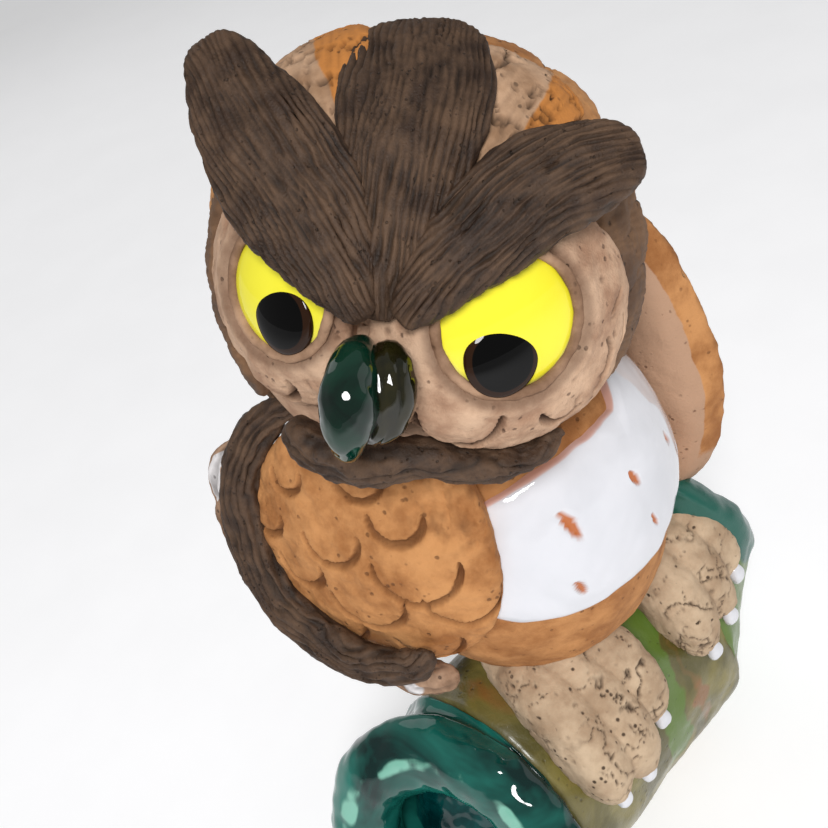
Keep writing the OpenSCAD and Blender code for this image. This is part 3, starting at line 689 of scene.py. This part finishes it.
tailSet = {"gap": 6.4, "top": (14.5, 62.0), "middle": (21.5, 47.0), "tip": (24.5, 30.5), "width": 8.4}
bm = startPiece()
for k in (-1, 1, 0):
    y0, z0 = tailSet["top"]
    y1, z1 = tailSet["middle"]
    y2, z2 = tailSet["tip"]
    x = k * tailSet["gap"]
    shift = 1.2 if k == 0 else 0
    addPaddle(bm, 90, 80, [(x * 0.5, y0, z0), (x * 0.8, (y0 + y1) / 2 + 1, (z0 + z1) / 2), (x * 0.95, y1 + shift, z1), (x * 1.1, y2 + shift, z2 - shift)],
              [5.0, tailSet["width"], tailSet["width"], 6.6], [3.0, 3.6, 3.4, 2.6], lambda p, t: Vector((0, 1, 0.15)), Matrix.Identity(4), depth=0.35,
              spacing=1.0, seed=41 + k)
roughen(bm, 5, 0.25, 43)
finishPiece("tail", bm, "brownSlip", "brown_slip", "tail_feathers")

# ---- wings

wingSet = {
    "right": {"ball": 42, "sunk": 5.0, "place": move(-23.2, -1.3, 68.6) @ turnZ(-70) @ turnX(80), "wide": 15.4, "high": 17.4, "middle": (0, 2.2), "level": 7,
              "scales": [(-7.5, 12.1, 2.3), (-8.5, 0.9, 3.2), (-2.8, 5.1, 3.4), (6.3, 1.7, 4.8), (-0.6, -2.9, 4.4), (10.4, -2.6, 4.2), (2.0, 12.6, 3.0), (-12.2, 6.4, 2.6), (5.4, 7.6, 3.0), (-6.6, -7.6, 3.6), (4.6, -9.4, 3.8)]},
    "left": {"ball": 70, "sunk": 8.0, "place": move(27.5, 0.4, 68.5) @ turnZ(88) @ turnX(86), "wide": 16.0, "high": 27.0, "middle": (0, 0), "level": 6,
             "scales": [(6.5, 9.1, 3.2), (7.5, -0.9, 3.4), (0.8, 4.1, 3.8), (-6.3, 1.7, 4.2), (0.6, -4.9, 4.2), (-5.0, 9.6, 3.4)]},
}

for side, name in ((-1, "right"), (1, "left")):
    d = wingSet[name]
    mx, my = d["middle"]
    def wingCarve(x, y, reach, d=d, side=side):
        line, change = 0.0, 0.0
        for k, (cx, cy, radius) in enumerate(d["scales"]):
            press = scratch(x, y, cx - mx, cy - my, radius, 172, 366, 0.5)
            line = max(line, press)
            change = min(change, -1.0 * press)
            inside = 1 - smoothstep(math.hypot(x - cx + mx, y - cy + my), radius * 0.3, radius)
            change += 0.4 * inside * (1 if y < cy - my else 0.4)
        worn = smoothstep(-side * x + y * 0.7, 7, 15)
        change -= worn * 0.4 * max(0.0, lumps((x * 2, y, 1), 1.4, 3)) + 0.22 * lumps((x, y, 9), 2.6, 8)
        return change, max(line * 0.9, worn * max(0.0, lumps((x, y, 5), 1.5, 2)) * 0.6), 0.0
    bm = startPiece()
    addPad(bm, d["level"], ellipse(d["wide"], d["high"], 0.05, side, 2.0 if side < 0 else 2.5), 2.6, d["sunk"], onBall(d["place"] @ move(mx, my, 0), d["ball"]), wingCarve, 0.5)
    roughen(bm, 6, 0.3, 45 + side, 0.05)
    paint = bm.verts.layers.float["paint"]
    bm.normal_update()
    flat = (d["place"] @ move(mx, my, 0)).inverted()
    for v in bm.verts:  # bare paler clay on the left wing's inner face and lower end
        q = flat @ v.co
        height = q.z + (q.x * q.x + q.y * q.y) / (2 * d["ball"])
        v[paint] = max(1 - smoothstep(height, -3.4, -2.0), 1 - smoothstep(v.co.z, 46, 58)) if name == "left" else 0.0
    finishPiece(name + "Wing", bm, "orangeClay", "orange_clay", "wing_" + name)

    def rimPoint(degrees, out, h, side=side, d=d):
        a = math.radians(degrees)
        x, y = side * math.cos(a) * (d["wide"] + out), math.sin(a) * (d["high"] + out)
        return Vector((x, my + y, h + 0.28 + (d["wide"] ** 2 - x * x - y * y) / (2 * d["ball"])))
    quillPath = [rimPoint(a, o, h) for a, o, h in ((80, 1.0, -2.4), (58, 1.6, -1.8), (34, 1.9, -1.2), (6, 1.6, -0.4), (-24, 0.4, 0.4), (-50, -1.6, 1.2), (-76, -2.6, 1.8),
                                                 (-104, -3.2, 1.9), (-122, -3.4, 1.7))]
    bm = startPiece()
    addPaddle(bm, 120, 220, quillPath, [3.4, 4.8, 5.4, 5.8, 6.2, 6.4, 6.2, 5.4, 4.0], [3.4, 3.8, 4.0, 4.0, 3.8, 3.6, 3.4, 3.2, 2.8], lambda p, t: Vector((0, 0, 1)), d["place"],
              depth=0.6, spacing=1.1, seed=51 + side)
    roughen(bm, 4, 0.3, 47, 0.06)
    finishPiece(name + "Quills", bm, "darkSlip", "dark_slip", "wing_" + name + "_quills")

    bm = startPiece()
    for k, a in enumerate((13, -4, -21, -38, -55, -72, -90)):
        base, mid, tip = rimPoint(a + 26, 0.6, -2.6), rimPoint(a + 8, 4.4, -2.2), rimPoint(a - 12, 6.2 - abs(k - 2) * 0.4, -1.6)
        addPaddle(bm, 56, 44, [base, mid, tip], [4.0, 6.2, 4.6], [3.4, 3.8, 3.0], lambda p, t: Vector((0, 0, 1)), d["place"], depth=0.35, spacing=1.5, seed=61 + k,
                  paintBy=lambda across, t, k=k: smoothstep(noise.noise(Vector((across * 0.3, t * 2, k * 1.7))), 0.15, 0.4))
    roughen(bm, 3, 0.3, 49, 0.05)
    finishPiece(name + "Tips", bm, "tanClay", "tan_clay", "wing_" + name + "_tips")
print("wings done")

# ---- log

logSet = {"z": 19.2, "tall": 18.2, "deep": 15.8, "left": -20.5, "right": 19.0}

def addSweep(bm, segments, stations):  # rings pulled out one after another: each is (place, radius)
    ring = bmesh.ops.create_circle(bm, segments=segments, radius=1, cap_ends=True)
    start = ring["verts"]
    place, size = stations[0]
    bmesh.ops.transform(bm, matrix=place @ Matrix.Diagonal((*size, 1, 1)), verts=start)
    face = [f for f in bm.faces if all(v in f.verts for v in start)][0]
    edges = list(face.edges)
    before = place @ Matrix.Diagonal((*size, 1, 1))
    for place, size in stations[1:]:
        grown = bmesh.ops.extrude_edge_only(bm, edges=edges)["geom"]
        verts = [g for g in grown if isinstance(g, bmesh.types.BMVert)]
        edges = [g for g in grown if isinstance(g, bmesh.types.BMEdge) and all(v in set(verts) for v in g.verts)]
        after = place @ Matrix.Diagonal((*size, 1, 1))
        bmesh.ops.transform(bm, matrix=after @ before.inverted(), verts=verts)
        before = after
    bmesh.ops.contextual_create(bm, geom=edges)

def flattenBase(bm):  # the log stands on its underside
    for v in bm.verts:
        if v.co.z < 2.2:
            v.co.z = max(0.0, (v.co.z - 1.2) * 2.2)

def alongX(x, tilt=0.0, y=0.0, z=0.0):
    return move(x, y, logSet["z"] + z) @ turnZ(tilt) @ turnY(-90)

bm = startPiece()
stations = []
span = logSet["right"] - logSet["left"]
for i in range(121):
    t = i / 120
    x = logSet["left"] + span * t
    end = min(t, 1 - t) * span
    swell = 1 - 0.10 * (1 - smoothstep(end, 0, 2.2)) + 0.012 * math.sin(t * 9)
    stations.append((alongX(x), (logSet["tall"] * swell, logSet["deep"] * swell)))
addSweep(bm, 220, [(stations[0][0], (2, 2))] + stations + [(stations[-1][0], (2, 2))])
layers = bm.verts.layers.float
for v in bm.verts:
    x = v.co.x
    turn = math.degrees(math.atan2(-v.co.y, v.co.z - logSet["z"]))
    rag = lumps(v.co, 6, 2) * 2.0
    v[layers["green"]] = math.exp(-((x - 4.0 + (turn - 30) * 0.03 + rag) / 3.4) ** 4) * smoothstep(turn, -20, 10) * (1 - smoothstep(turn, 95, 130))
    v[layers["green"]] = max(v[layers["green"]], 0.7 * smoothstep(x + rag, 18, 23))
    v[layers["rust"]] = math.exp(-((x + 15.5 + rag) / 2.6) ** 2) * 0.45 * (1 - smoothstep(turn, 30, 90)) + 0.6 * math.exp(-((x - 8 + rag) / 1.6) ** 2)
    v[layers["teal"]] = smoothstep(x + rag * 0.4, 22.6, 24.0)
roughen(bm, 9, 0.4, 53, 0.05)
flattenBase(bm)
finishPiece("logBarrel", bm, "logWash", "olive_clay", "perch_log")

mouthSet = {
    "right": {"place": (-29.4, -1.85, 21.1), "out": (-0.883, -0.269, 0.385), "rim": 14.4, "tube": 5.2, "hole": 9.2, "neck": -19.4},
    "left": {"place": (25.4, 1.0, 35.5), "out": (0.90, 0, 0.44), "rim": 11.8, "tube": 4.2, "hole": 7.6, "neck": 16.5},
}

def mixFrames(a, b, t):
    turned = a.to_quaternion().slerp(b.to_quaternion(), t).to_matrix().to_4x4()
    turned.translation = a.translation.lerp(b.translation, t)
    return turned

for name, d in mouthSet.items():
    out = Vector(d["out"]).normalized()
    upward = Vector((0, 0, -out.x)).normalized()
    upward = (upward - out * upward.dot(out)).normalized()
    mouth = basis(upward, out.cross(upward), out, Vector(d["place"]))
    neck = move(d["neck"], 0, logSet["z"]) @ (turnY(-90) if name == "right" else turnY(90))
    floorAt = mouth @ move(0, 0, -d["tube"] - 2.5)
    stations = [(floorAt, (2, 2)), (floorAt, (d["hole"] - 1.2, d["hole"] - 1.2))]
    for i in range(0, 61):  # from the hole's wall over the rolled rim to the outside
        a = math.radians(-150 + 240 * i / 60)
        reach = d["rim"] + d["tube"] * math.sin(a)
        stations.append((mouth @ move(0, 0, d["tube"] * 0.85 * math.cos(a)), (reach, reach)))
    last = d["rim"] + d["tube"]
    for i in range(1, 31):
        t = i / 30
        waist = 1.4 * math.sin(math.pi * t) * (1 if name == "right" else 0.6)
        stations.append((mixFrames(mouth, neck, t), [last + (logSet[k] + 0.45 - last) * smoothstep(t, 0, 1) - waist for k in ("tall", "deep")]))
    stations.append((neck @ move(0, 0, -0.4), (logSet["tall"] - 0.3, logSet["deep"] - 0.3)))
    stations.append((neck @ move(0, 0, -0.4), (2, 2)))
    bm = startPiece()
    addSweep(bm, 200, stations)
    layers = bm.verts.layers.float
    back = mouth.inverted()
    for v in bm.verts:
        q = back @ v.co
        reach = math.hypot(q.x, q.y)
        # pale band over the rolled rim: partly thinner glaze there, partly a painted highlight, kept to the upper side
        # where the light falls
        thinGlazeAndHighlight = math.exp(-((reach - d["rim"] - 0.4) / 1.3) ** 2) * smoothstep(q.z, 1.0, 3.0) * (0.65 + 0.8 * lumps(v.co, 5, 7))
        v[layers["paint"]] = max(0.0, min(1.0, thinGlazeAndHighlight)) * smoothstep(v.co.z, 14, 22)
        # the whole inside of the hole darkened: painted shade, with the glaze pooled thicker there
        v[layers["groove"]] = (1 - smoothstep(reach, d["hole"] - 0.5, d["hole"] + 1.6)) * 0.6
        v[layers["teal"]] = smoothstep(v.co.z + (v.co.x - 24) * 1.2 + 2 * lumps(v.co, 6, 3), 29, 35)
        v[layers["green"]] = 0.8
    roughen(bm, 7, 0.45, 55)
    flattenBase(bm)
    finishPiece("log" + name.capitalize() + "Mouth", bm, "tealGlaze" if name == "right" else "logWash", "teal_glaze", "log_end_" + name)

    bm = startPiece()
    addPad(bm, 6, ellipse(d["hole"] + 0.6, d["hole"] + 0.6, 0.04, 3), 3.6, 1.6, onBall(mouth @ move(0, 0, -d["tube"] * 0.85 - 1.4), 60), None, 0.9)
    roughen(bm, 4, 0.4, 57)
    finishPiece("log" + name.capitalize() + "Core", bm, "tealDeep", "teal_deep_glaze", "log_core_" + name)
print("log done")

# ---- feet

footSet = {"right": {"toes": (-13.4, -8.2, -2.2), "ends": (73, 75, 65), "heel": -6.2}, "left": {"toes": (10.8, 16.2, 21.4), "ends": (65, 61, 52), "heel": 17.0}}

def overLog(x, turn, h):  # turn degrees from the log's top towards the front
    a = math.radians(turn)
    return Vector((x, -math.sin(a) * (logSet["deep"] + h), logSet["z"] + math.cos(a) * (logSet["tall"] + h)))

def offLog(p, t):
    return Vector((0, p.y, p.z - logSet["z"])).normalized()

def remeshed(bm, voxel):  # melts overlapping lumps into one skin
    mesh = bpy.data.meshes.new("lump")
    bmesh.ops.recalc_face_normals(bm, faces=bm.faces)
    bm.to_mesh(mesh)
    bm.free()
    lump = bpy.data.objects.new("lump", mesh)
    bpy.context.scene.collection.objects.link(lump)
    melt = lump.modifiers.new("melt", "REMESH")
    melt.mode = "VOXEL"
    melt.voxel_size = voxel
    soften = lump.modifiers.new("soften", "SMOOTH")
    soften.iterations = 5
    bpy.context.view_layer.update()
    skin = bpy.data.meshes.new_from_object(lump.evaluated_get(bpy.context.evaluated_depsgraph_get()))
    bpy.data.objects.remove(lump)
    result = startPiece()
    result.from_mesh(skin)
    return result

for side, name in ((-1, "right"), (1, "left")):
    d = footSet[name]
    bm = startPiece()
    claws = startPiece()
    for x, end in zip(d["toes"], d["ends"]):
        root = d["heel"] + (x - d["heel"]) * 0.75
        points = [overLog(root, 0, 0.8), overLog(root * 0.5 + x * 0.5, 20, 3.2), overLog(x, end - 20, 3.0), overLog(x, end + 1, 1.8)]
        addPaddle(bm, 48, 48, points, [7.0, 7.6, 8.0, 7.4], [6.5, 9.0, 9.6, 8.4], offLog, Matrix.Identity(4), blunt=0.55)
        nails = [overLog(x, end - 3, 3.6), overLog(x, end + 2, 3.4), overLog(x, end + 6, 2.0)]
        addPaddle(claws, 40, 32, nails, [1.8, 2.3, 1.4], [1.6, 1.9, 1.2], offLog, Matrix.Identity(4), blunt=0.7)
    addPaddle(bm, 48, 40, [overLog(d["heel"], -16, 3.0), overLog(d["heel"], 8, 4.0), overLog(sum(d["toes"]) / 3, 36, 2.6)], [12.0, 17.0, 15.5], [7.0, 8.4, 6.0],
              offLog, Matrix.Identity(4), blunt=0.6)
    bm = remeshed(bm, 0.3)
    groove = bm.verts.layers.float["groove"]
    bm.normal_update()
    for v in bm.verts:
        crack = max(hairline(v.co, 6, 0.045, 3 + side), hairline(v.co, 4, 0.03, 8 + side)) * smoothstep(noise.noise(v.co / 5), -0.25, 0.1)
        pit = max(0.0, noise.noise(v.co / 0.9 + Vector((2, 2, 2))) - 0.5) * 2.2
        v[groove] = min(1.0, max(crack, pit * 0.8))
        v.co -= v.normal * (0.4 * crack + 0.3 * pit)
    roughen(bm, 3.5, 0.3, 59, 0.04)
    finishPiece(name + "Foot", bm, "creamClay", "cream_clay", "foot_" + name)
    roughen(claws, 2, 0.1, 61)
    finishPiece(name + "Claws", claws, "whiteEnamel", "white_enamel", "claws_" + name)
print("feet done")

floorMesh = bpy.data.meshes.new("floor")
bm = bmesh.new()
bmesh.ops.create_grid(bm, x_segments=2, y_segments=2, size=8)
bm.to_mesh(floorMesh)
bm.free()
floor = bpy.data.objects.new("floor", floorMesh)
bpy.context.scene.collection.objects.link(floor)
paper, paperTree, paperShader = startMaterial("paleFloor", 0.9)
paperNoise = useGroup(paperTree, clayGrain, Size=0.2, Pit_Amount=0.0)
paperTree.links.new(mixColor(paperTree, paperNoise.outputs["Blotch"], tone(236, 236, 238), tone(240, 240, 242)), paperShader.inputs["Base Color"])
paperShader.inputs["Emission Color"].default_value = (1, 1, 1, 1)
paperShader.inputs["Emission Strength"].default_value = 0.3
floorMesh.materials.append(paper)
